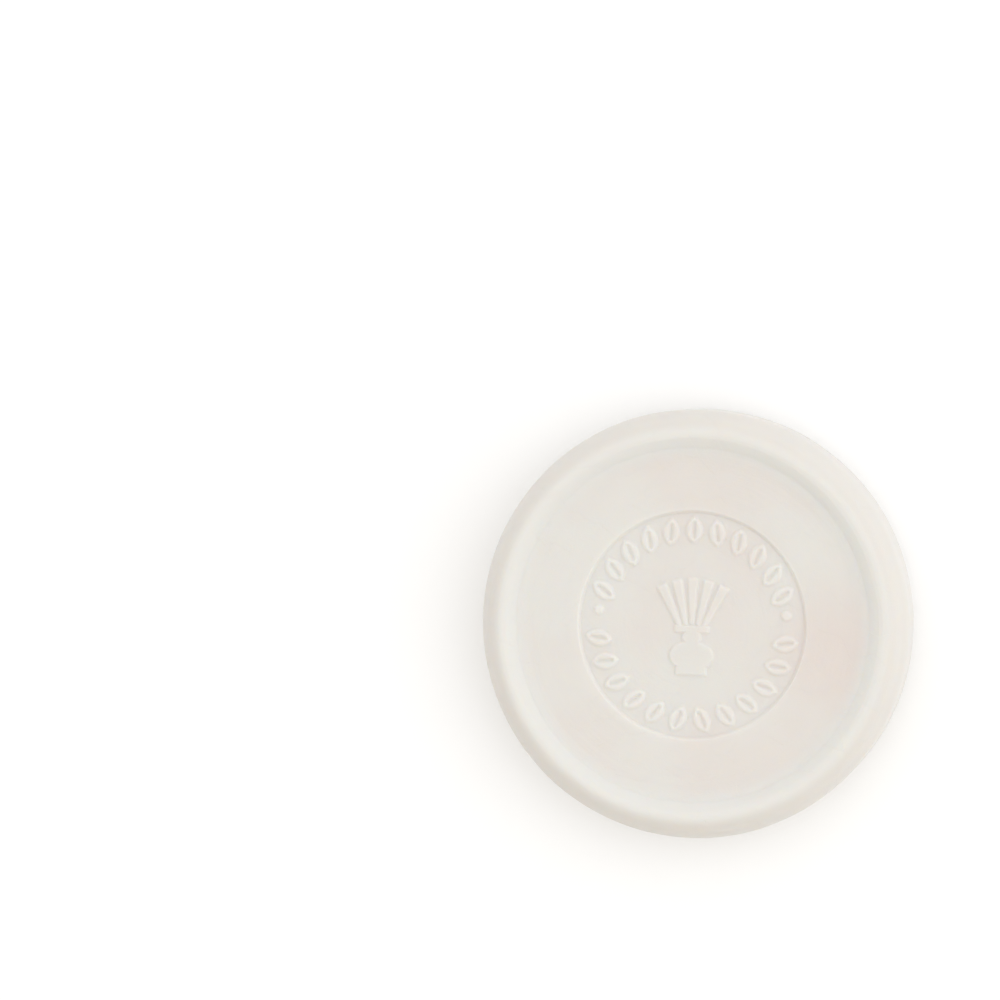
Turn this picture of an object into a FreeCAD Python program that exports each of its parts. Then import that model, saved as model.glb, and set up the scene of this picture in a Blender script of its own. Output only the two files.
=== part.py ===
import FreeCAD, Part
import math
import os

from FreeCAD import Vector

# Shaving soap puck: one disc of hard milled soap, pressed between two dies.
# The front has a rounded rim, a shallow dish for the brush and a round stamped panel
# with a raised ring of leaves and a raised shaving brush. The back is flat.
# Millimetres. The puck lies on its back: the origin is the centre of the back face,
# +Z points out of the stamped front, and +Y is the stamp's upward direction.

# Body of the puck
PUCK_DIAMETER = 70.0
PUCK_THICKNESS = 17.0
BACK_SHOULDER = 3.5

# Front shoulder: slopes gently down from the rim, then turns over to the upright edge.
# Every drop is measured down from the top of the rim.
RIM_INNER_RADIUS = 31.0
RIM_OUTER_RADIUS = 31.7
RIM_ROUNDING = 2.0
SHOULDER_RADIUS = 33.4
SHOULDER_DROP = 0.65
SHOULDER_ROUNDING = 3.0
EDGE_DROP = 3.6

# Dish: its floor lifts a little, then a small step and a steeper slope climb to the rim
DISH_DEPTH = 1.1
APRON_RADIUS = 26.8
APRON_ROUNDING = 6.0
FOOT_RADIUS = 28.8
FOOT_DROP = 0.81
FOOT_ROUNDING = 1.2
STEP_RADIUS = 29.25
STEP_DROP = 0.595
STEP_ROUNDING = 0.8
CREST_RADIUS = 30.4
CREST_DROP = 0.12
CREST_ROUNDING = 1.2

# Stamped panel: a round sunken field in the middle of the dish
PANEL_RADIUS = 18.7
PANEL_SINK = 0.35
PANEL_DRAFT = 0.5
PANEL_ROUNDING = 0.3
RELIEF_HEIGHT = 0.22
RELIEF_ROOT = 0.3

# Ring of leaves, between two dots
RING_RADIUS = 15.45
UPPER_LEAVES = 11
UPPER_HALF_SPREAD = 70.5
LOWER_LEAVES = 12
LOWER_HALF_SPREAD = 80.5
LEAF_LENGTH = 4.2
LEAF_WIDTH = 2.6
LEAF_LEAN = 18.0
VEIN_LENGTH = 2.7
VEIN_WIDTH = 0.64
DOT_RADIUS = 0.75
DOT_SPREAD = 82.5

# Shaving brush in the middle of the panel
BRISTLE_TUFTS = 5
TUFT_SPREAD = 26.0
FAN_CENTRE_Y = -4.2
TUFT_ROOT_DISTANCE = 4.3
TUFT_TIP_DISTANCE = 11.5
TUFT_ROOT_RADIUS = 0.36
TUFT_TIP_RADIUS = 0.82
COLLAR_SIZE = (5.6, 1.2)
COLLAR_Y = -0.65
NECK_SIZE = (3.2, 2.4)
NECK_Y = -2.0
BULB_SIZE = (7.2, 4.8)
BULB_Y = -5.0
FOOT_SIZE = (5.0, 1.4)
FOOT_Y = -7.4

PUCK_RADIUS = PUCK_DIAMETER / 2.0
DISH_FLOOR_Z = PUCK_THICKNESS - DISH_DEPTH
PANEL_Z = DISH_FLOOR_Z - PANEL_SINK


def rounded_edges(corners):
    """Edges along (radius, height, rounding) corners in the XZ plane, closed on itself."""
    edges = []
    count = len(corners)
    starts = []
    ends = []
    for index, (x, z, rounding) in enumerate(corners):
        corner = Vector(x, 0, z)
        before = Vector(corners[index - 1][0], 0, corners[index - 1][1])
        after = Vector(corners[(index + 1) % count][0], 0, corners[(index + 1) % count][1])
        back = (before - corner).normalize()
        ahead = (after - corner).normalize()
        half_angle = back.getAngle(ahead) / 2.0
        run = rounding / math.tan(half_angle)
        starts.append(corner + back * run)
        ends.append(corner + ahead * run)
        if rounding > 0:
            bisector = (back + ahead).normalize()
            middle = corner + bisector * (rounding / math.sin(half_angle) - rounding)
            edges.append(Part.Arc(starts[-1], middle, ends[-1]).toShape())
    for index in range(count):
        edges.append(Part.makeLine(ends[index], starts[(index + 1) % count]))
    return edges


def puck_body():
    """The pressed disc without its relief, turned from one half section."""
    corners = [
        (0.0, 0.0, 0.0),
        (PUCK_RADIUS, 0.0, BACK_SHOULDER),
        (PUCK_RADIUS, PUCK_THICKNESS - EDGE_DROP, SHOULDER_ROUNDING),
        (SHOULDER_RADIUS, PUCK_THICKNESS - SHOULDER_DROP, SHOULDER_ROUNDING),
        (RIM_OUTER_RADIUS, PUCK_THICKNESS, RIM_ROUNDING),
        (RIM_INNER_RADIUS, PUCK_THICKNESS, RIM_ROUNDING),
        (CREST_RADIUS, PUCK_THICKNESS - CREST_DROP, CREST_ROUNDING),
        (STEP_RADIUS, PUCK_THICKNESS - STEP_DROP, STEP_ROUNDING),
        (FOOT_RADIUS, PUCK_THICKNESS - FOOT_DROP, FOOT_ROUNDING),
        (APRON_RADIUS, DISH_FLOOR_Z, APRON_ROUNDING),
        (PANEL_RADIUS, DISH_FLOOR_Z, PANEL_ROUNDING),
        (PANEL_RADIUS - PANEL_DRAFT, PANEL_Z, PANEL_ROUNDING),
        (0.0, PANEL_Z, 0.0),
    ]
    ordered = Part.sortEdges(rounded_edges(corners))[0]
    section = Part.Face(Part.Wire(ordered))
    return section.revolve(Vector(0, 0, 0), Vector(0, 0, 1), 360)


def raised(face):
    """A flat face at height 0 made into relief that is rooted in the panel."""
    face.translate(Vector(0, 0, PANEL_Z - RELIEF_ROOT))
    return face.extrude(Vector(0, 0, RELIEF_ROOT + RELIEF_HEIGHT))


def pointed_oval(length, width):
    """A leaf-shaped face of two arcs, with its points on the Y axis."""
    tip = Vector(0, length / 2.0, 0)
    base = Vector(0, -length / 2.0, 0)
    right = Part.Arc(base, Vector(width / 2.0, 0, 0), tip).toShape()
    left = Part.Arc(tip, Vector(-width / 2.0, 0, 0), base).toShape()
    return Part.Face(Part.Wire([right, left]))


def ellipse_face(size, y):
    """A filled ellipse of the given width and height, centred on the Y axis."""
    curve = Part.Ellipse(Vector(0, 0, 0), size[0] / 2.0, size[1] / 2.0)
    face = Part.Face(Part.Wire([curve.toShape()]))
    face.translate(Vector(0, y, 0))
    return face


def bar_solid(size, y):
    """A level raised bar with half-round ends."""
    radius = size[1] / 2.0
    reach = size[0] / 2.0 - radius
    top = Part.makeLine(Vector(reach, radius, 0), Vector(-reach, radius, 0))
    left = Part.Arc(Vector(-reach, radius, 0), Vector(-reach - radius, 0, 0), Vector(-reach, -radius, 0))
    bottom = Part.makeLine(Vector(-reach, -radius, 0), Vector(reach, -radius, 0))
    right = Part.Arc(Vector(reach, -radius, 0), Vector(reach + radius, 0, 0), Vector(reach, radius, 0))
    face = Part.Face(Part.Wire([top, left.toShape(), bottom, right.toShape()]))
    face.translate(Vector(0, y, 0))
    return raised(face)


def leaf():
    """One leaf of the ring, centred on the origin with its tip towards +Y."""
    blade = raised(pointed_oval(LEAF_LENGTH, LEAF_WIDTH))
    vein = raised(pointed_oval(VEIN_LENGTH, VEIN_WIDTH))
    return blade.cut(vein)


def placed_on_ring(solid, clockwise_degrees):
    """A solid moved out to the ring and turned clockwise from the top."""
    solid.translate(Vector(0, RING_RADIUS, 0))
    solid.rotate(Vector(0, 0, 0), Vector(0, 0, 1), -clockwise_degrees)
    return solid


def leaf_ring():
    """Every leaf, its tip leaning towards the top, and the dots between the two rows."""
    solids = []
    rows = [(0.0, UPPER_LEAVES, UPPER_HALF_SPREAD), (180.0, LOWER_LEAVES, LOWER_HALF_SPREAD)]
    for middle, count, half_spread in rows:
        step = 2.0 * half_spread / (count - 1)
        for index in range(count):
            angle = middle + (index - (count - 1) / 2.0) * step
            side = round(math.sin(math.radians(angle)), 6)
            blade = leaf()
            blade.rotate(Vector(0, 0, 0), Vector(0, 0, 1), LEAF_LEAN * ((side > 0) - (side < 0)))
            solids.append(placed_on_ring(blade, angle))
    for angle in (-DOT_SPREAD, DOT_SPREAD):
        circle = Part.Circle(Vector(0, 0, 0), Vector(0, 0, 1), DOT_RADIUS)
        dot = raised(Part.Face(Part.Wire([circle.toShape()])))
        solids.append(placed_on_ring(dot, angle))
    return solids


def tuft(angle):
    """One tapered tuft of bristles with round ends, fanned out by the given angle."""
    length = TUFT_TIP_DISTANCE - TUFT_ROOT_DISTANCE
    lean = math.asin((TUFT_TIP_RADIUS - TUFT_ROOT_RADIUS) / length)
    root = Vector(0, TUFT_ROOT_DISTANCE, 0)
    tip = Vector(0, TUFT_TIP_DISTANCE, 0)
    side = Vector(math.cos(lean), -math.sin(lean), 0)
    mirrored = Vector(-side.x, side.y, 0)
    root_right = root + side * TUFT_ROOT_RADIUS
    root_left = root + mirrored * TUFT_ROOT_RADIUS
    tip_right = tip + side * TUFT_TIP_RADIUS
    tip_left = tip + mirrored * TUFT_TIP_RADIUS
    wire = Part.Wire([
        Part.makeLine(root_right, tip_right),
        Part.Arc(tip_right, tip + Vector(0, TUFT_TIP_RADIUS, 0), tip_left).toShape(),
        Part.makeLine(tip_left, root_left),
        Part.Arc(root_left, root - Vector(0, TUFT_ROOT_RADIUS, 0), root_right).toShape(),
    ])
    solid = raised(Part.Face(wire))
    solid.rotate(Vector(0, 0, 0), Vector(0, 0, 1), -angle)
    solid.translate(Vector(0, FAN_CENTRE_Y, 0))
    return solid


def brush_emblem():
    """The shaving brush: tufts that fan out of a collar, and a joined neck, bulb and foot."""
    step = 2.0 * TUFT_SPREAD / (BRISTLE_TUFTS - 1)
    solids = [tuft(-TUFT_SPREAD + index * step) for index in range(BRISTLE_TUFTS)]
    solids.append(bar_solid(COLLAR_SIZE, COLLAR_Y))
    solids.append(bar_solid(FOOT_SIZE, FOOT_Y))
    solids.append(raised(ellipse_face(NECK_SIZE, NECK_Y)))
    solids.append(raised(ellipse_face(BULB_SIZE, BULB_Y)))
    return solids


def soap_puck():
    """The whole puck as one solid."""
    return puck_body().multiFuse(leaf_ring() + brush_emblem()).removeSplitter()


os.makedirs("parts", exist_ok=True)
puck = soap_puck()
puck.exportStep("parts/soap_puck.step")
print("soap_puck: valid", puck.isValid(), "solids", len(puck.Solids), "volume", round(puck.Volume, 1), "mm3")
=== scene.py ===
"""A shaving soap puck: one disc of hard milled soap with a brush dish and a stamped panel.

The script is laid out as a Blender add-on. It turns the puck on a lathe of geometry nodes,
presses the stamp into it, gives it its soap material and sets a plain studio round it.
"""
import math

import bpy
from mathutils import Matrix, Vector


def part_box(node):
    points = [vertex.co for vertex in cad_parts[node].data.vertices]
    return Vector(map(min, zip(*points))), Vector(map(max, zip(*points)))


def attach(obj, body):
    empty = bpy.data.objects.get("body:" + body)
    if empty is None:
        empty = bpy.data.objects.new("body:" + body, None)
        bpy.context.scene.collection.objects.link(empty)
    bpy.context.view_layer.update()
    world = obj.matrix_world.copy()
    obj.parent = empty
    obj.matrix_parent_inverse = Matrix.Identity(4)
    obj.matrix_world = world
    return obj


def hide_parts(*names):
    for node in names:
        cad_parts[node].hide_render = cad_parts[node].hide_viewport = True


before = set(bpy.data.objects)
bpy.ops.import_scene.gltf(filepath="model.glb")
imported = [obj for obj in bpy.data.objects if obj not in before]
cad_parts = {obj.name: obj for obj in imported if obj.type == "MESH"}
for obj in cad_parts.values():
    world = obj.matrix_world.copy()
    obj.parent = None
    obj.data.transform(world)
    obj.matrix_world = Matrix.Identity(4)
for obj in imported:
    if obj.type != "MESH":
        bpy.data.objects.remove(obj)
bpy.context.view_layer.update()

MM = 0.001
NODE = "soap_puck"
PUCK_LOW, PUCK_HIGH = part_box(NODE)

bl_info = {
    "name": "Shaving Soap Puck",
    "version": (1, 0, 0),
    "blender": (4, 5, 0),
    "location": "3D View > Sidebar > Soap Puck",
    "description": "Presses a stamped disc of shaving soap and sets a studio round it",
    "category": "Object",
}


# ---------------------------------------------------------------- sizes and colours

def length(name, description, millimetres):
    """A length property whose default is given in millimetres."""
    return bpy.props.FloatProperty(
        name=name, description=description, default=millimetres * MM, precision=5, unit="LENGTH",
    )


def turn(name, description, degrees):
    """An angle property whose default is given in degrees."""
    return bpy.props.FloatProperty(
        name=name, description=description, default=math.radians(degrees), subtype="ANGLE",
    )


def number(name, description, default):
    """A plain number property."""
    return bpy.props.FloatProperty(name=name, description=description, default=default, precision=4)


def whole(name, description, default):
    """A whole-number property."""
    return bpy.props.IntProperty(name=name, description=description, default=default)


def colour(name, description, hex_code):
    """A colour property kept as an sRGB hex code."""
    return bpy.props.StringProperty(name=name, description=description, default=hex_code)


def shape(name, description, width, height, middle):
    """A flat shape's width, height and the height of its middle on the stamp, in millimetres."""
    return bpy.props.FloatVectorProperty(
        name=name, description=description, default=(width * MM, height * MM, middle * MM),
        precision=5, unit="LENGTH",
    )


class SOAP_PG_body(bpy.types.PropertyGroup):
    """Sizes of the pressed disc."""

    radius: length("Radius", "Puck radius at its upright edge", (PUCK_HIGH.x - PUCK_LOW.x) / 2 / MM)
    thickness: length("Thickness", "Back face to the top of the rim", (PUCK_HIGH.z - PUCK_LOW.z) / MM)
    shoulder_rounding: length("Shoulder rounding", "Rounding of the front shoulder", 3.0)
    shoulder_radius: length("Shoulder radius", "Radius where the shoulder turns down", 33.4)
    shoulder_drop: length("Shoulder drop", "Where the shoulder turns down, below the rim", 0.65)
    edge_drop: length("Edge drop", "Top of the upright edge, below the rim", 3.6)
    rim_outer_radius: length("Rim outside", "Radius where the rim starts to slope outwards", 31.7)
    rim_inner_radius: length("Rim inside", "Radius where the rim starts to slope inwards", 31.0)
    rim_rounding: length("Rim rounding", "Rounding on both sides of the rim", 2.0)
    back_shoulder: length("Back shoulder", "Rounding of the back edge", 3.5)
    dish_depth: length("Dish depth", "Top of the rim to the dish floor", 1.1)
    crest_radius: length("Crest radius", "Radius where the rim drops into the dish", 30.4)
    crest_drop: length("Crest drop", "Top of the dish wall, below the rim", 0.12)
    crest_rounding: length("Crest rounding", "Rounding where the rim drops into the dish", 1.2)
    step_radius: length("Step radius", "Top of the small step at the wall's foot", 29.25)
    step_drop: length("Step drop", "Top of the small step, below the rim", 0.595)
    step_rounding: length("Step rounding", "Rounding of the small step", 0.8)
    foot_radius: length("Wall foot", "Radius where the dish wall starts to climb", 28.8)
    foot_drop: length("Wall foot drop", "Foot of the dish wall below the rim", 0.81)
    foot_rounding: length("Foot rounding", "Hollow rounding at the foot of the dish wall", 1.2)
    apron_radius: length("Apron radius", "Radius where the dish floor starts to lift", 26.8)
    apron_rounding: length("Apron rounding", "Hollow rounding where the floor lifts", 6.0)
    panel_radius: length("Panel radius", "Radius of the stamped panel", 18.7)
    panel_sink: length("Panel sink", "Dish floor to the panel", 0.35)
    panel_draft: length("Panel draft", "How far the panel's edge leans in", 0.5)
    panel_rounding: length("Panel rounding", "Rounding of the panel's edge", 0.3)
    waviness: length("Waviness", "How far the pressed faces stray from true", 0.05)
    segments: whole("Segments", "Steps round the lathe", 600)


class SOAP_PG_stamp(bpy.types.PropertyGroup):
    """Sizes of the raised stamp."""

    relief: length("Relief", "How far the stamp stands up from the panel", 0.22)
    softness: length("Softness", "Width of the slope at every raised edge", 0.5)
    ring_radius: length("Ring radius", "Radius of the ring of leaves", 15.45)
    upper_leaves: whole("Upper leaves", "Leaves in the upper row", 11)
    upper_spread: turn("Upper spread", "Half the angle that the upper row spans", 70.5)
    lower_leaves: whole("Lower leaves", "Leaves in the lower row", 12)
    lower_spread: turn("Lower spread", "Half the angle that the lower row spans", 80.5)
    leaf_length: length("Leaf length", "Stalk end to tip", 4.2)
    leaf_width: length("Leaf width", "Width across the middle of a leaf", 2.6)
    leaf_lean: turn("Leaf lean", "How far each tip leans towards the top", 18)
    vein_length: length("Vein length", "Length of the groove along a leaf", 2.7)
    vein_width: length("Vein width", "Width of the groove along a leaf", 0.64)
    dot_radius: length("Dot radius", "Radius of the two dots between the rows", 0.75)
    dot_spread: turn("Dot spread", "Angle from the top to each dot", 82.5)
    tufts: whole("Tufts", "Bristle tufts of the brush", 5)
    tuft_spread: turn("Tuft spread", "Angle from the middle tuft to the outermost", 26)
    fan_centre: length("Fan centre", "Height on the stamp that the tufts fan out from", -4.2)
    tuft_middle: length("Tuft middle", "Fan centre to the middle of each tuft", 7.95)
    tuft_length: length("Tuft length", "Length of each tuft", 7.6)
    tuft_root: length("Tuft root", "Width of each tuft at the collar", 0.75)
    tuft_tip: length("Tuft tip", "Width of each tuft at its tip", 1.65)
    collar: shape("Collar", "Bar that holds the tufts", 5.6, 1.2, -0.65)
    neck: shape("Neck", "Turned neck between the collar and the bulb", 3.2, 2.4, -2.0)
    bulb: shape("Bulb", "Turned bulb of the handle", 7.2, 4.8, -5.0)
    foot: shape("Foot", "Foot of the handle", 5.0, 1.4, -7.4)


class SOAP_PG_finish(bpy.types.PropertyGroup):
    """Colours and surface of the soap."""

    cream: colour("Cream", "The soap's usual colour, sRGB hex", "DFDDD8")
    # the blush colour also paints the darker patch on the stamp's right, which is partly painted shade
    blush: colour("Blush", "Warmer patches, sRGB hex", "DED6D0")
    # the wall colour is only a little paler and less warm than the cream
    wall: colour("Wall", "The less_warm, paler dish wall and rim, sRGB hex", "DFDEDA")
    # painted shade: the edge colour is darker, for the shoulder and edge where they turn away from the
    # light
    edge: colour("Edge", "The shoulder and edge, rubbed by the painted_shade, sRGB hex", "DAD7D2")
    roughness: number("Roughness", "Middle roughness of the satin surface", 0.46)


class SOAP_PG_stage(bpy.types.PropertyGroup):
    """Camera and light."""

    distance: length("Distance", "Camera to the middle of the rim", 648.3)
    right: turn("Right", "Camera off the puck's axis towards the stamp's right", 7.5)
    up: turn("Up", "Camera off the puck's axis towards the stamp's top", 3.9)
    aside: turn("Aside", "How far right of the lens axis the puck sits", 2.73)
    below: turn("Below", "How far below the lens axis the puck sits", 1.8)
    lean: turn("Lean", "How far the stamp's top leans clockwise", 1.5)
    lens: number("Lens", "Focal length in millimetres on a sensor 36 mm wide", 144)
    key_power: number("Key power", "Watts of the large light on the right", 1.5)
    sky: number("Sky", "Strength of the light from all round", 1.28)
    sky_bright: colour("Bright sky", "Light from above and the right, sRGB hex", "FFFFFF")
    sky_dim: colour("Dim sky", "Light from low on the left, sRGB hex", "A29C94")
    card: colour("Card", "The warm card below the stamp, sRGB hex", "A2967F")


# ---------------------------------------------------------------- nodes

def linear(hex_code):
    """An sRGB hex code as linear red, green, blue and alpha."""
    values = [int(hex_code[place:place + 2], 16) / 255 for place in (0, 2, 4)]
    return [v / 12.92 if v <= 0.04045 else ((v + 0.055) / 1.055) ** 2.4 for v in values] + [1.0]


def add_node(tree, kind, settings=None, inputs=None):
    """Adds a node. Settings are its properties, inputs the values or links of its sockets."""
    node = tree.nodes.new(kind)
    for name, value in (settings or {}).items():
        setattr(node, name, value)
    for key, value in (inputs or {}).items():
        if isinstance(value, bpy.types.NodeSocket):
            tree.links.new(value, node.inputs[key])
        else:
            node.inputs[key].default_value = value
    return node


def new_tree(name, inputs, outputs):
    """A geometry node tree with these named sockets, given as name: (socket type, default)."""
    tree = bpy.data.node_groups.new(name, "GeometryNodeTree")
    for socket_name, (kind, default) in inputs.items():
        socket = tree.interface.new_socket(socket_name, in_out="INPUT", socket_type=kind)
        if default is not None:
            socket.default_value = default
    for socket_name in outputs:
        tree.interface.new_socket(socket_name, in_out="OUTPUT", socket_type="NodeSocketGeometry")
    return tree, tree.nodes.new("NodeGroupInput").outputs, tree.nodes.new("NodeGroupOutput").inputs


# ---------------------------------------------------------------- the stamp

GEOMETRY = ("NodeSocketGeometry", None)
LENGTH = ("NodeSocketFloat", 0.0)
COUNT = ("NodeSocketInt", 1)
PLACE = ("NodeSocketVector", None)
ROUND_STEPS = 48
LEAF_STEPS = 16
# leaves within this sine of the stamp's upright turn smoothly from one lean to the other
TOP_SINE = 0.01


def pointed_oval(tree, width, height):
    """A flat leaf shape of two arcs, this wide and high, as one geometry socket."""
    arc = add_node(tree, "GeometryNodeCurveArc", {"mode": "POINTS"}, {
        "Resolution": LEAF_STEPS, "Start": (0, -1, 0), "Middle": (0.5, 0, 0), "End": (0, 1, 0),
    })
    half = add_node(tree, "GeometryNodeFillCurve", {"mode": "NGONS"}, {"Curve": arc.outputs["Curve"]})
    half_height = add_node(tree, "ShaderNodeMath", {"operation": "MULTIPLY"}, {0: height, 1: 0.5})
    both = add_node(tree, "GeometryNodeJoinGeometry")
    for side in (1, -1):
        across = add_node(tree, "ShaderNodeMath", {"operation": "MULTIPLY"}, {0: width, 1: side})
        scale = add_node(tree, "ShaderNodeCombineXYZ", None, {
            "X": across.outputs[0], "Y": half_height.outputs[0], "Z": 1.0,
        })
        sized = add_node(tree, "GeometryNodeTransform", None, {
            "Geometry": half.outputs[0], "Scale": scale.outputs[0],
        })
        tree.links.new(sized.outputs[0], both.inputs[0])
    return both.outputs[0]


def leaf_row_tree():
    """A row of leaves on an arc: the raised blades, and the veins sunk into them."""
    tree, given, result = new_tree("Leaf row", {
        "Leaves": COUNT, "Middle": LENGTH, "Spread": LENGTH, "Ring Radius": LENGTH, "Lean": LENGTH,
        "Blade Width": LENGTH, "Blade Length": LENGTH, "Vein Width": LENGTH, "Vein Length": LENGTH,
    }, ("Raised", "Sunk"))
    last = add_node(tree, "ShaderNodeMath", {"operation": "SUBTRACT"}, {0: given["Leaves"], 1: 1.0})
    back = add_node(tree, "ShaderNodeMath", {"operation": "MULTIPLY"}, {0: given["Spread"], 1: -1.0})
    index = add_node(tree, "GeometryNodeInputIndex")
    offset = add_node(tree, "ShaderNodeMapRange", None, {
        "Value": index.outputs[0], "From Max": last.outputs[0],
        "To Min": back.outputs[0], "To Max": given["Spread"],
    })
    angle = add_node(tree, "ShaderNodeMath", {"operation": "ADD"}, {
        0: offset.outputs[0], 1: given["Middle"],
    })
    sideways = add_node(tree, "ShaderNodeMath", {"operation": "SINE"}, {0: angle.outputs[0]})
    lean_back = add_node(tree, "ShaderNodeMath", {"operation": "MULTIPLY"}, {0: given["Lean"], 1: -1.0})
    # a leaf right at the top stands straight, and all the others lean by the same angle
    lean = add_node(tree, "ShaderNodeMapRange", None, {
        "Value": sideways.outputs[0], "From Min": -TOP_SINE, "From Max": TOP_SINE,
        "To Min": lean_back.outputs[0], "To Max": given["Lean"],
    })
    heading = add_node(tree, "ShaderNodeMath", {"operation": "SUBTRACT"}, {
        0: lean.outputs[0], 1: angle.outputs[0],
    })
    rotation = add_node(tree, "ShaderNodeCombineXYZ", None, {"Z": heading.outputs[0]})
    top = add_node(tree, "ShaderNodeCombineXYZ", None, {"Y": given["Ring Radius"]})
    clockwise = add_node(tree, "ShaderNodeVectorRotate", {"rotation_type": "Z_AXIS", "invert": True}, {
        "Vector": top.outputs[0], "Angle": angle.outputs[0],
    })
    points = add_node(tree, "GeometryNodePoints", None, {
        "Count": given["Leaves"], "Position": clockwise.outputs[0],
    })
    shapes = {"Raised": ("Blade Width", "Blade Length"), "Sunk": ("Vein Width", "Vein Length")}
    for name, (width, height) in shapes.items():
        row = add_node(tree, "GeometryNodeInstanceOnPoints", None, {
            "Points": points.outputs[0], "Rotation": rotation.outputs[0],
            "Instance": pointed_oval(tree, given[width], given[height]),
        })
        real = add_node(tree, "GeometryNodeRealizeInstances", None, {"Geometry": row.outputs[0]})
        tree.links.new(real.outputs[0], result[name])
    return tree


def flat_shape(tree, outline, size):
    """A filled outline of unit size, made size.x wide and size.y high and moved up by size.z."""
    parts = add_node(tree, "ShaderNodeSeparateXYZ", None, {"Vector": size})
    scale = add_node(tree, "ShaderNodeCombineXYZ", None, {
        "X": parts.outputs["X"], "Y": parts.outputs["Y"], "Z": 1.0,
    })
    up = add_node(tree, "ShaderNodeCombineXYZ", None, {"Y": parts.outputs["Z"]})
    filled = add_node(tree, "GeometryNodeFillCurve", {"mode": "NGONS"}, {"Curve": outline})
    moved = add_node(tree, "GeometryNodeTransform", None, {
        "Geometry": filled.outputs[0], "Translation": up.outputs[0], "Scale": scale.outputs[0],
    })
    return moved.outputs[0]


def brush_tree():
    """The shaving brush: bristle tufts that fan out of a collar, over a turned handle."""
    tree, given, result = new_tree("Shaving brush", {
        "Tufts": COUNT, "Spread": LENGTH, "Fan Centre": LENGTH, "Tuft Middle": LENGTH,
        "Tuft Length": LENGTH, "Root Width": LENGTH, "Tip Width": LENGTH,
        "Collar": PLACE, "Neck": PLACE, "Bulb": PLACE, "Foot": PLACE,
    }, ("Raised",))
    last = add_node(tree, "ShaderNodeMath", {"operation": "SUBTRACT"}, {0: given["Tufts"], 1: 1.0})
    back = add_node(tree, "ShaderNodeMath", {"operation": "MULTIPLY"}, {0: given["Spread"], 1: -1.0})
    index = add_node(tree, "GeometryNodeInputIndex")
    angle = add_node(tree, "ShaderNodeMapRange", None, {
        "Value": index.outputs[0], "From Max": last.outputs[0],
        "To Min": back.outputs[0], "To Max": given["Spread"],
    })
    rotation = add_node(tree, "ShaderNodeCombineXYZ", None, {"Z": angle.outputs[0]})
    centre = add_node(tree, "ShaderNodeCombineXYZ", None, {"Y": given["Fan Centre"]})
    points = add_node(tree, "GeometryNodePoints", None, {
        "Count": given["Tufts"], "Position": centre.outputs[0],
    })
    taper = add_node(tree, "GeometryNodeCurvePrimitiveQuadrilateral", {"mode": "TRAPEZOID"}, {
        "Height": given["Tuft Length"], "Bottom Width": given["Root Width"],
        "Top Width": given["Tip Width"], "Offset": 0.0,
    })
    out = add_node(tree, "ShaderNodeCombineXYZ", None, {"X": 1.0, "Y": 1.0, "Z": given["Tuft Middle"]})
    tuft = flat_shape(tree, taper.outputs[0], out.outputs[0])
    fan = add_node(tree, "GeometryNodeInstanceOnPoints", None, {
        "Points": points.outputs[0], "Instance": tuft, "Rotation": rotation.outputs[0],
    })
    real = add_node(tree, "GeometryNodeRealizeInstances", None, {"Geometry": fan.outputs[0]})
    bar = add_node(tree, "GeometryNodeCurvePrimitiveQuadrilateral", {"mode": "RECTANGLE"}, {
        "Width": 1.0, "Height": 1.0,
    })
    disc = add_node(tree, "GeometryNodeCurvePrimitiveCircle", {"mode": "RADIUS"}, {
        "Resolution": ROUND_STEPS, "Radius": 0.5,
    })
    raised = add_node(tree, "GeometryNodeJoinGeometry", None, {0: real.outputs[0]})
    outlines = {"Collar": bar, "Foot": bar, "Neck": disc, "Bulb": disc}
    for name, outline in outlines.items():
        tree.links.new(flat_shape(tree, outline.outputs[0], given[name]), raised.inputs[0])
    tree.links.new(raised.outputs[0], result["Raised"])
    return tree


# ---------------------------------------------------------------- the puck

ARC_STEP = math.radians(9)
MERGE = 1e-7
FLAT_STEP = 2.0 * MM
COARSE_STEP = 5.0 * MM
# the mesh is fine under the ring of leaves and under the brush, and coarser in the band between them
PANEL_STEP = 0.165 * MM
PLAIN_STEP = 3 * PANEL_STEP
FINE_OUTSIDE = 17.9 * MM
PLAIN_BAND = (12.9 * MM, 8.9 * MM)
# the ripple: one wave to this length, and the middle span of a noise that counts as its full range
WAVE_LENGTH = 14 * MM
NOISE_SPAN = (0.3, 0.7)


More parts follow.
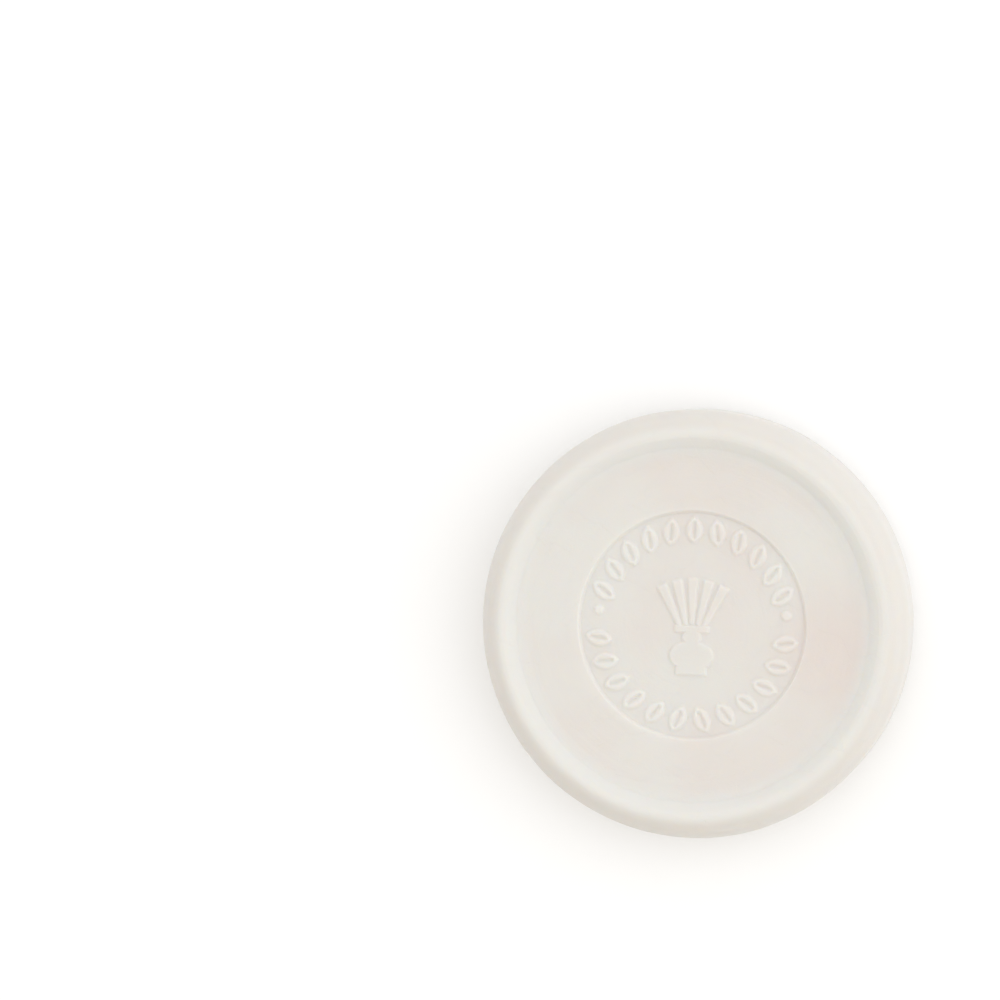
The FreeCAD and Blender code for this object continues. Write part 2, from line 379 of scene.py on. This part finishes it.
def section_line(body):
    """The puck's half section as (radius, height) points, from the back's centre to the panel's."""
    skin = body.waviness
    edge = body.radius - skin
    rim = body.thickness - skin
    floor = rim - body.dish_depth
    panel = floor - body.panel_sink
    corners = [
        (edge, skin, body.back_shoulder, COARSE_STEP),
        (edge, rim - body.edge_drop, body.shoulder_rounding, FLAT_STEP),
        (body.shoulder_radius, rim - body.shoulder_drop, body.shoulder_rounding, FLAT_STEP),
        (body.rim_outer_radius, rim, body.rim_rounding, FLAT_STEP),
        (body.rim_inner_radius, rim, body.rim_rounding, FLAT_STEP),
        (body.crest_radius, rim - body.crest_drop, body.crest_rounding, FLAT_STEP),
        (body.step_radius, rim - body.step_drop, body.step_rounding, FLAT_STEP),
        (body.foot_radius, rim - body.foot_drop, body.foot_rounding, FLAT_STEP),
        (body.apron_radius, floor, body.apron_rounding, FLAT_STEP),
        (body.panel_radius, floor, body.panel_rounding, FLAT_STEP),
        (body.panel_radius - body.panel_draft, panel, body.panel_rounding, FLAT_STEP),
        (FINE_OUTSIDE, panel, 0.0, PANEL_STEP),
        (PLAIN_BAND[0], panel, 0.0, PANEL_STEP),
        (PLAIN_BAND[1], panel, 0.0, PLAIN_STEP),
    ]
    start = Vector((0.0, skin))
    finish = Vector((0.0, panel))
    places = [start] + [Vector(corner[:2]) for corner in corners] + [finish]
    line = [start]
    for place, corner in enumerate(corners, 1):
        here = places[place]
        back = (places[place - 1] - here).normalized()
        ahead = (places[place + 1] - here).normalized()
        rounding, step = corner[2:]
        half = back.angle(ahead) / 2
        run = rounding / math.tan(half)
        straight_to(line, here + back * run, step)
        if rounding > 0:
            centre = here + (back + ahead).normalized() * (rounding / math.sin(half))
            first = (here + back * run - centre).normalized()
            final = (here + ahead * run - centre).normalized()
            steps = math.ceil((math.pi - 2 * half) / ARC_STEP)
            line += [centre + first.slerp(final, i / steps) * rounding for i in range(1, steps + 1)]
    straight_to(line, finish, PANEL_STEP)
    return line


def straight_to(line, end, step):
    """Adds evenly spaced points to a line, up to and with its new end."""
    start = line[-1].copy()
    steps = max(1, round((end - start).length / step))
    line += [start.lerp(end, i / steps) for i in range(1, steps + 1)]


def press_tree(leaf_row, brush, stamp):
    """Turns a half section on the lathe, ripples it slightly and presses the stamp into its front."""
    tree, given, result = new_tree("Pressed puck", {
        "Section": GEOMETRY, "Segments": COUNT, "Middle Height": LENGTH, "Relief": LENGTH,
        "Softness": LENGTH, "Waviness": LENGTH, "Waves per Metre": ("NodeSocketFloat", 1.0),
        "Soap": ("NodeSocketMaterial", None),
    }, ("Puck",))

    # the lathe: a grid whose rows are the section's points, each turned round the axis
    count = add_node(tree, "GeometryNodeAttributeDomainSize", None, {"Geometry": given["Section"]})
    around = add_node(tree, "ShaderNodeMath", {"operation": "ADD"}, {0: given["Segments"], 1: 1.0})
    grid = add_node(tree, "GeometryNodeMeshGrid", None, {
        "Vertices X": count.outputs["Point Count"], "Vertices Y": around.outputs[0],
    })
    index = add_node(tree, "GeometryNodeInputIndex")
    rows = add_node(tree, "ShaderNodeMath", {"operation": "DIVIDE"}, {
        0: index.outputs[0], 1: around.outputs[0],
    })
    row = add_node(tree, "ShaderNodeMath", {"operation": "FLOOR"}, {0: rows.outputs[0]})
    place = add_node(tree, "ShaderNodeMath", {"operation": "MODULO"}, {
        0: index.outputs[0], 1: around.outputs[0],
    })
    angle = add_node(tree, "ShaderNodeMapRange", None, {
        "Value": place.outputs[0], "From Max": given["Segments"], "To Max": math.tau,
    })
    position = add_node(tree, "GeometryNodeInputPosition")
    profile = add_node(tree, "GeometryNodeSampleIndex", {"data_type": "FLOAT_VECTOR"}, {
        "Geometry": given["Section"], "Value": position.outputs[0], "Index": row.outputs[0],
    })
    turned = add_node(tree, "ShaderNodeVectorRotate", {"rotation_type": "Z_AXIS", "invert": True}, {
        "Vector": profile.outputs[0], "Angle": angle.outputs[0],
    })
    lathe = add_node(tree, "GeometryNodeSetPosition", None, {
        "Geometry": grid.outputs["Mesh"], "Position": turned.outputs[0],
    })
    closed = add_node(tree, "GeometryNodeMergeByDistance", None, {
        "Geometry": lathe.outputs[0], "Distance": MERGE,
    })

    # a slight ripple, as a pressed face has when it comes off the die
    noise = add_node(tree, "ShaderNodeTexNoise", None, {
        "Vector": position.outputs[0], "Scale": given["Waves per Metre"], "Detail": 1.0,
    })
    stray = add_node(tree, "ShaderNodeMapRange", {"clamp": True}, {
        "Value": noise.outputs[0], "From Min": NOISE_SPAN[0], "From Max": NOISE_SPAN[1],
        "To Min": -1.0, "To Max": 1.0,
    })
    much = add_node(tree, "ShaderNodeMath", {"operation": "MULTIPLY"}, {
        0: stray.outputs[0], 1: given["Waviness"],
    })
    normal = add_node(tree, "GeometryNodeInputNormal")
    ripple = add_node(tree, "ShaderNodeVectorMath", {"operation": "SCALE"}, {
        0: normal.outputs[0], "Scale": much.outputs[0],
    })
    rippled = add_node(tree, "GeometryNodeSetPosition", None, {
        "Geometry": closed.outputs[0], "Offset": ripple.outputs[0],
    })

    # the stamp: full height over its raised shapes, falling away smoothly round them
    shapes = {"Raised": add_node(tree, "GeometryNodeJoinGeometry"),
              "Sunk": add_node(tree, "GeometryNodeJoinGeometry")}
    for piece in stamp_parts(tree, leaf_row, brush, stamp):
        for name, socket in piece.items():
            tree.links.new(socket, shapes[name].inputs[0])
    flat = add_node(tree, "ShaderNodeVectorMath", {"operation": "MULTIPLY"}, {
        0: position.outputs[0], 1: (1, 1, 0),
    })
    cover = {}
    for name, joined in shapes.items():
        near = add_node(tree, "GeometryNodeProximity", {"target_element": "FACES"}, {
            "Geometry": joined.outputs[0], "Sample Position": flat.outputs[0],
        })
        cover[name] = add_node(tree, "ShaderNodeMapRange", {"interpolation_type": "SMOOTHSTEP"}, {
            "Value": near.outputs["Distance"], "From Max": given["Softness"],
            "To Min": 1.0 if name == "Raised" else 0.0, "To Max": 0.0 if name == "Raised" else 1.0,
        })
    height = add_node(tree, "ShaderNodeMath", {"operation": "MULTIPLY"}, {
        0: cover["Raised"].outputs[0], 1: cover["Sunk"].outputs[0],
    })
    scaled = add_node(tree, "ShaderNodeMath", {"operation": "MULTIPLY"}, {
        0: height.outputs[0], 1: given["Relief"],
    })
    lift = add_node(tree, "ShaderNodeCombineXYZ", None, {"Z": scaled.outputs[0]})
    level = add_node(tree, "ShaderNodeSeparateXYZ", None, {"Vector": position.outputs[0]})
    front = add_node(tree, "FunctionNodeCompare", {"operation": "GREATER_THAN"}, {
        0: level.outputs["Z"], 1: given["Middle Height"],
    })
    stamped = add_node(tree, "GeometryNodeSetPosition", None, {
        "Geometry": rippled.outputs[0], "Selection": front.outputs[0], "Offset": lift.outputs[0],
    })
    smooth = add_node(tree, "GeometryNodeSetShadeSmooth", None, {"Geometry": stamped.outputs[0]})
    real = add_node(tree, "GeometryNodeRealizeInstances", None, {"Geometry": smooth.outputs[0]})
    finished = add_node(tree, "GeometryNodeSetMaterial", None, {
        "Geometry": real.outputs[0], "Material": given["Soap"],
    })
    tree.links.new(finished.outputs[0], result["Puck"])
    return tree


def stamp_parts(tree, leaf_row, brush, stamp):
    """The stamp's flat shapes, drawn smaller by the slope's width, as Raised and Sunk sockets."""
    soft = stamp.softness
    trim = Vector((soft, soft, 0))
    parts = []
    rows = (
        (0.0, stamp.upper_leaves, stamp.upper_spread),
        (math.pi, stamp.lower_leaves, stamp.lower_spread),
    )
    for middle, leaves, spread in rows:
        row = add_node(tree, "GeometryNodeGroup", {"node_tree": leaf_row}, {
            "Leaves": leaves, "Middle": middle, "Spread": spread,
            "Ring Radius": stamp.ring_radius, "Lean": stamp.leaf_lean,
            "Blade Width": stamp.leaf_width - soft, "Blade Length": stamp.leaf_length - soft,
            "Vein Width": stamp.vein_width - soft, "Vein Length": stamp.vein_length - soft,
        })
        parts.append({"Raised": row.outputs["Raised"], "Sunk": row.outputs["Sunk"]})
    made = add_node(tree, "GeometryNodeGroup", {"node_tree": brush}, {
        "Tufts": stamp.tufts, "Spread": stamp.tuft_spread, "Fan Centre": stamp.fan_centre,
        "Tuft Middle": stamp.tuft_middle, "Tuft Length": stamp.tuft_length - soft,
        "Root Width": stamp.tuft_root - soft, "Tip Width": stamp.tuft_tip - soft,
        "Collar": Vector(stamp.collar) - trim, "Neck": Vector(stamp.neck) - trim,
        "Bulb": Vector(stamp.bulb) - trim, "Foot": Vector(stamp.foot) - trim,
    })
    parts.append({"Raised": made.outputs["Raised"]})
    for side in (1, -1):
        circle = add_node(tree, "GeometryNodeCurvePrimitiveCircle", {"mode": "RADIUS"}, {
            "Resolution": ROUND_STEPS, "Radius": stamp.dot_radius - soft / 2,
        })
        filled = add_node(tree, "GeometryNodeFillCurve", {"mode": "NGONS"}, {"Curve": circle.outputs[0]})
        across = side * stamp.ring_radius * math.sin(stamp.dot_spread)
        up = stamp.ring_radius * math.cos(stamp.dot_spread)
        dot = add_node(tree, "GeometryNodeTransform", None, {
            "Geometry": filled.outputs[0], "Translation": (across, up, 0),
        })
        parts.append({"Raised": dot.outputs[0]})
    return parts


def set_inputs(modifier, values):
    """Sets a geometry modifier's named inputs, through each socket's identifier."""
    for item in modifier.node_group.interface.items_tree:
        if item.in_out == "INPUT" and item.name in values:
            modifier[item.identifier] = values[item.name]


def plain_mesh(piece):
    """Replaces a piece's mesh by what its modifiers make of it, and takes the modifiers off."""
    graph = bpy.context.evaluated_depsgraph_get()
    mesh = bpy.data.meshes.new_from_object(piece.evaluated_get(graph))
    piece.modifiers.clear()
    piece.data = mesh
    mesh.name = piece.name


# ---------------------------------------------------------------- the soap

PATCH_SIZE = 20 * MM
PATCH_SPAN = (0.35, 0.65)
PATCH_STRENGTH = 0.5
# the larger blush on the stamp's right is partly painted shade
SHADED_BLUSH_PLACE = (24 * MM, -4 * MM, 16 * MM)
SHADED_BLUSH_REACH = (2 * MM, 18 * MM)
WALL_BAND = (26.5 * MM, 29.5 * MM)
# painted shade: past this band the shoulder and edge take the darker edge colour
EDGE_SHADE_BAND = (31.0 * MM, 33.0 * MM)
CLOUD_SIZE = 5 * MM
CLOUD_ROUGHNESS = 0.06
GRAIN_SIZE = 0.35 * MM
GRAIN_DEPTH = 0.02 * MM
RING_SPACING = 1.2 * MM
RING_DEPTH = 0.05 * MM
RING_BREAKS = (0.08, 0.08, 0.0)
PINHOLE_CELL = 4 * MM
PINHOLE_THRESHOLD = 0.6
PINHOLE_REACH = 0.09
PINHOLE_DEPTH = 0.12 * MM
PAPER = "FCFCFC"


def soap_material(finish):
    """Hard milled soap, pressed in a polished die: satin, faintly mottled, light goes a little way in;
    painted shade darkens the edge and the right of the dish.
    """
    material = bpy.data.materials.new("hard_milled_soap")
    material.use_nodes = True
    tree = material.node_tree
    tree.nodes.clear()
    own = add_node(tree, "ShaderNodeTexCoord").outputs["Object"]

    # soft patches of cream and blush, some 20 mm across, where the milled ribbons were pressed together
    patches = add_node(tree, "ShaderNodeTexNoise", None, {
        "Vector": own, "Scale": 1 / PATCH_SIZE, "Detail": 2.0,
    })
    blend = add_node(tree, "ShaderNodeMapRange", {"interpolation_type": "SMOOTHSTEP"}, {
        "Value": patches.outputs[0], "From Min": PATCH_SPAN[0], "From Max": PATCH_SPAN[1],
        "To Max": PATCH_STRENGTH,
    })
    # one larger, darker blush on the stamp's right: partly the soap's own warmer tone, partly painted shade
    # where that side of the dish turns away from the light
    apart = add_node(tree, "ShaderNodeVectorMath", {"operation": "DISTANCE"}, {
        0: own, 1: SHADED_BLUSH_PLACE,
    })
    shaded_blush_spot = add_node(tree, "ShaderNodeMapRange", {"interpolation_type": "SMOOTHSTEP"}, {
        "Value": apart.outputs["Value"], "From Min": SHADED_BLUSH_REACH[0], "From Max": SHADED_BLUSH_REACH[1],
        "To Min": 1.0, "To Max": 0.0,
    })
    warmth_and_shade = add_node(tree, "ShaderNodeMath", {"operation": "MAXIMUM"}, {
        0: blend.outputs[0], 1: shaded_blush_spot.outputs[0],
    })
    body = add_node(tree, "ShaderNodeMix", {"data_type": "RGBA"}, {
        "Factor": warmth_and_shade.outputs[0], 6: linear(finish.cream), 7: linear(finish.blush),
    })

    # the dish wall and rim are a little paler and less warm; the shoulder and edge are painted darker,
    # painted shade where they turn away from the light
    flat = add_node(tree, "ShaderNodeVectorMath", {"operation": "MULTIPLY"}, {0: own, 1: (1, 1, 0)})
    out = add_node(tree, "ShaderNodeVectorMath", {"operation": "LENGTH"}, {0: flat.outputs[0]})
    wall = add_node(tree, "ShaderNodeMapRange", {"interpolation_type": "SMOOTHSTEP"}, {
        "Value": out.outputs["Value"], "From Min": WALL_BAND[0], "From Max": WALL_BAND[1],
    })
    pale = add_node(tree, "ShaderNodeMix", {"data_type": "RGBA"}, {
        "Factor": wall.outputs[0], 6: body.outputs[2], 7: linear(finish.wall),
    })
    edge = add_node(tree, "ShaderNodeMapRange", {"interpolation_type": "SMOOTHSTEP"}, {
        "Value": out.outputs["Value"], "From Min": EDGE_SHADE_BAND[0], "From Max": EDGE_SHADE_BAND[1],
    })
    darkened = add_node(tree, "ShaderNodeMix", {"data_type": "RGBA"}, {
        "Factor": edge.outputs[0], 6: pale.outputs[2], 7: linear(finish.edge),
    })

    # satin with slightly duller and glossier clouds, 5 mm across
    clouds = add_node(tree, "ShaderNodeTexNoise", None, {
        "Vector": own, "Scale": 1 / CLOUD_SIZE, "Detail": 3.0,
    })
    rough = add_node(tree, "ShaderNodeMapRange", None, {
        "Value": clouds.outputs[0], "From Min": NOISE_SPAN[0], "From Max": NOISE_SPAN[1],
        "To Min": finish.roughness - CLOUD_ROUGHNESS, "To Max": finish.roughness + CLOUD_ROUGHNESS,
    })

    # a fine waxy grain, drawn at 0.35 mm so that it shows
    grain = add_node(tree, "ShaderNodeTexNoise", None, {
        "Vector": own, "Scale": 1 / GRAIN_SIZE, "Detail": 3.0,
    })
    grained = add_node(tree, "ShaderNodeBump", None, {
        "Height": grain.outputs[0], "Distance": GRAIN_DEPTH, "Strength": 1.0,
    })

    # faint broken rings, about 1.2 mm apart, left by the turned die
    radial = add_node(tree, "ShaderNodeCombineXYZ", None, {"Z": out.outputs["Value"]})
    drawn = add_node(tree, "ShaderNodeVectorMath", {"operation": "MULTIPLY_ADD"}, {
        0: own, 1: RING_BREAKS, 2: radial.outputs[0],
    })
    rings = add_node(tree, "ShaderNodeTexNoise", None, {
        "Vector": drawn.outputs[0], "Scale": 1 / RING_SPACING, "Detail": 2.0,
    })
    ringed = add_node(tree, "ShaderNodeBump", None, {
        "Height": rings.outputs[0], "Distance": RING_DEPTH, "Strength": 1.0, "Normal": grained.outputs[0],
    })

    # a few pinholes where air was caught between the ribbons, up to 0.7 mm across
    cells = add_node(tree, "ShaderNodeTexVoronoi", None, {"Vector": own, "Scale": 1 / PINHOLE_CELL})
    chance = add_node(tree, "ShaderNodeSeparateColor", None, {"Color": cells.outputs["Color"]})
    size = add_node(tree, "ShaderNodeMapRange", None, {
        "Value": chance.outputs[0], "From Min": PINHOLE_THRESHOLD, "To Max": PINHOLE_REACH,
    })
    depth = add_node(tree, "ShaderNodeMapRange", {"interpolation_type": "SMOOTHSTEP"}, {
        "Value": cells.outputs["Distance"], "From Max": size.outputs[0],
    })
    pitted = add_node(tree, "ShaderNodeBump", None, {
        "Height": depth.outputs[0], "Distance": PINHOLE_DEPTH, "Strength": 1.0, "Normal": ringed.outputs[0],
    })
    shader = add_node(tree, "ShaderNodeBsdfPrincipled", {"subsurface_method": "RANDOM_WALK"}, {
        "Base Color": darkened.outputs[2], "Roughness": rough.outputs[0], "Normal": pitted.outputs[0],
        "IOR": 1.47, "Subsurface Weight": 0.85, "Subsurface Scale": 2.5 * MM,
        "Subsurface Radius": (1.0, 0.8, 0.6),
    })
    add_node(tree, "ShaderNodeOutputMaterial", None, {"Surface": shader.outputs[0]})
    return material


def floor_material():
    """Matt white paper: even, with no gloss."""
    material = bpy.data.materials.new("white_paper")
    material.use_nodes = True
    tree = material.node_tree
    tree.nodes.clear()
    shader = add_node(tree, "ShaderNodeBsdfPrincipled", None, {
        "Base Color": linear(PAPER), "Roughness": 0.9, "Specular IOR Level": 0.1,
    })
    add_node(tree, "ShaderNodeOutputMaterial", None, {"Surface": shader.outputs[0]})
    return material


# ---------------------------------------------------------------- operators

class SOAP_OT_press_puck(bpy.types.Operator):
    """Turn and stamp the soap puck"""

    bl_idname = "soap.press_puck"
    bl_label = "Press Puck"
    bl_options = {"REGISTER", "UNDO"}

    def execute(self, context):
        body = context.scene.soap_body
        stamp = context.scene.soap_stamp
        line = section_line(body)
        mesh = bpy.data.meshes.new("pressed_puck")
        mesh.from_pydata([(r, 0.0, z) for r, z in line], [(i, i + 1) for i in range(len(line) - 1)], [])
        puck = bpy.data.objects.new("pressed_puck", mesh)
        context.scene.collection.objects.link(puck)
        modifier = puck.modifiers.new("Press", "NODES")
        modifier.node_group = press_tree(leaf_row_tree(), brush_tree(), stamp)
        set_inputs(modifier, {
            "Segments": body.segments, "Middle Height": body.thickness / 2,
            "Relief": stamp.relief, "Softness": stamp.softness,
            "Waviness": body.waviness, "Waves per Metre": 1 / WAVE_LENGTH,
            "Soap": soap_material(context.scene.soap_finish),
        })
        plain_mesh(puck)
        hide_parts(NODE)
        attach(puck, "root")
        return {"FINISHED"}


class SOAP_OT_set_stage(bpy.types.Operator):
    """Lay the floor and set the lights and the camera"""

    bl_idname = "soap.set_stage"
    bl_label = "Set Stage"
    bl_options = {"REGISTER", "UNDO"}

    def execute(self, context):
        scene = context.scene
        stage = scene.soap_stage
        lay_floor(scene)
        set_lights(scene, stage)
        set_camera(scene, stage)
        scene.view_settings.view_transform = "Standard"
        return {"FINISHED"}


FLOOR_HALF = 2.0
SKY_TOP = Vector((0.4, 0.1, 0.84)).normalized()
CARD_SIDE = Vector((-0.15, -1.0, 0.0)).normalized()
CARD_EDGE = (0.5, 0.9)
KEY_SIDE = Vector((1.0, 0.0, 0.8)).normalized()
KEY_DISTANCE = 1.1
KEY_SIZE = 1.2
SENSOR_WIDTH = 36.0


def lay_floor(scene):
    """A large plain floor that the puck lies on."""
    mesh = bpy.data.meshes.new("floor")
    corners = [(-FLOOR_HALF, -FLOOR_HALF, 0), (FLOOR_HALF, -FLOOR_HALF, 0),
               (FLOOR_HALF, FLOOR_HALF, 0), (-FLOOR_HALF, FLOOR_HALF, 0)]
    mesh.from_pydata(corners, [], [(0, 1, 2, 3)])
    mesh.materials.append(floor_material())
    floor = bpy.data.objects.new("floor", mesh)
    scene.collection.objects.link(floor)


def set_lights(scene, stage):
    """A sky that is brightest overhead and on the right, a low card, and one large soft light."""
    world = bpy.data.worlds.new("studio_sky")
    world.use_nodes = True
    tree = world.node_tree
    tree.nodes.clear()
    direction = add_node(tree, "ShaderNodeTexCoord").outputs["Object"]
    facing = add_node(tree, "ShaderNodeVectorMath", {"operation": "DOT_PRODUCT"}, {
        0: direction, 1: SKY_TOP,
    })
    blend = add_node(tree, "ShaderNodeMapRange", None, {
        "Value": facing.outputs["Value"], "From Min": -1.0, "From Max": 1.0,
    })
    mixed = add_node(tree, "ShaderNodeMix", {"data_type": "RGBA"}, {
        "Factor": blend.outputs[0], 6: linear(stage.sky_dim), 7: linear(stage.sky_bright),
    })
    # a warm card low down, below the stamp, shades the edge on that side
    low = add_node(tree, "ShaderNodeVectorMath", {"operation": "DOT_PRODUCT"}, {
        0: direction, 1: CARD_SIDE,
    })
    carded = add_node(tree, "ShaderNodeMapRange", {"interpolation_type": "SMOOTHSTEP"}, {
        "Value": low.outputs["Value"], "From Min": CARD_EDGE[0], "From Max": CARD_EDGE[1],
    })
    lit = add_node(tree, "ShaderNodeMix", {"data_type": "RGBA"}, {
        "Factor": carded.outputs[0], 6: mixed.outputs[2], 7: linear(stage.card),
    })
    sky = add_node(tree, "ShaderNodeBackground", None, {"Color": lit.outputs[2], "Strength": stage.sky})
    add_node(tree, "ShaderNodeOutputWorld", None, {"Surface": sky.outputs[0]})
    scene.world = world
    lamp = bpy.data.lights.new("key_light", "AREA")
    lamp.energy = stage.key_power
    lamp.size = KEY_SIZE
    key = bpy.data.objects.new("key_light", lamp)
    key.location = KEY_SIDE * KEY_DISTANCE
    key.rotation_mode = "QUATERNION"
    key.rotation_quaternion = (-KEY_SIDE).to_track_quat("-Z", "Y")
    scene.collection.objects.link(key)


def set_camera(scene, stage):
    """A long lens nearly square to the stamped face, which sits right of and below its axis."""
    lens = bpy.data.cameras.new("camera")
    lens.sensor_width = SENSOR_WIDTH
    lens.lens = stage.lens
    camera = bpy.data.objects.new("camera", lens)
    towards = Vector((math.tan(stage.right), math.tan(stage.up), 1.0)).normalized()
    camera.location = Vector((0, 0, scene.soap_body.thickness)) + towards * stage.distance
    across = Vector((-math.sin(stage.lean), math.cos(stage.lean), 0)).cross(towards).normalized()
    facing = Matrix((across, towards.cross(across), towards)).transposed().to_quaternion()
    seen = Vector((math.tan(stage.aside), -math.tan(stage.below), -1.0)).normalized()
    aim = seen.rotation_difference(Vector((0, 0, -1)))
    camera.rotation_mode = "QUATERNION"
    camera.rotation_quaternion = facing @ aim
    scene.collection.objects.link(camera)
    scene.camera = camera


class SOAP_PT_panel(bpy.types.Panel):
    """The puck's sizes, colours and operators"""

    bl_idname = "SOAP_PT_panel"
    bl_label = "Soap Puck"
    bl_space_type = "VIEW_3D"
    bl_region_type = "UI"
    bl_category = "Soap Puck"

    def draw(self, context):
        for name in SETTINGS:
            box = self.layout.box()
            settings = getattr(context.scene, name)
            for key in settings.__annotations__:
                box.prop(settings, key)
        self.layout.operator(SOAP_OT_press_puck.bl_idname)
        self.layout.operator(SOAP_OT_set_stage.bl_idname)


SETTINGS = {
    "soap_body": SOAP_PG_body,
    "soap_stamp": SOAP_PG_stamp,
    "soap_finish": SOAP_PG_finish,
    "soap_stage": SOAP_PG_stage,
}
CLASSES = (*SETTINGS.values(), SOAP_OT_press_puck, SOAP_OT_set_stage, SOAP_PT_panel)


def register():
    """Adds the classes and gives each scene its settings."""
    for kind in CLASSES:
        bpy.utils.register_class(kind)
    for name, kind in SETTINGS.items():
        setattr(bpy.types.Scene, name, bpy.props.PointerProperty(type=kind))


def unregister():
    """Takes the settings and classes away again."""
    for name in SETTINGS:
        delattr(bpy.types.Scene, name)
    for kind in reversed(CLASSES):
        bpy.utils.unregister_class(kind)


def main():
    """Builds the puck and its stage."""
    register()
    bpy.ops.soap.press_puck()
    bpy.ops.soap.set_stage()


if __name__ == "__main__":
    main()
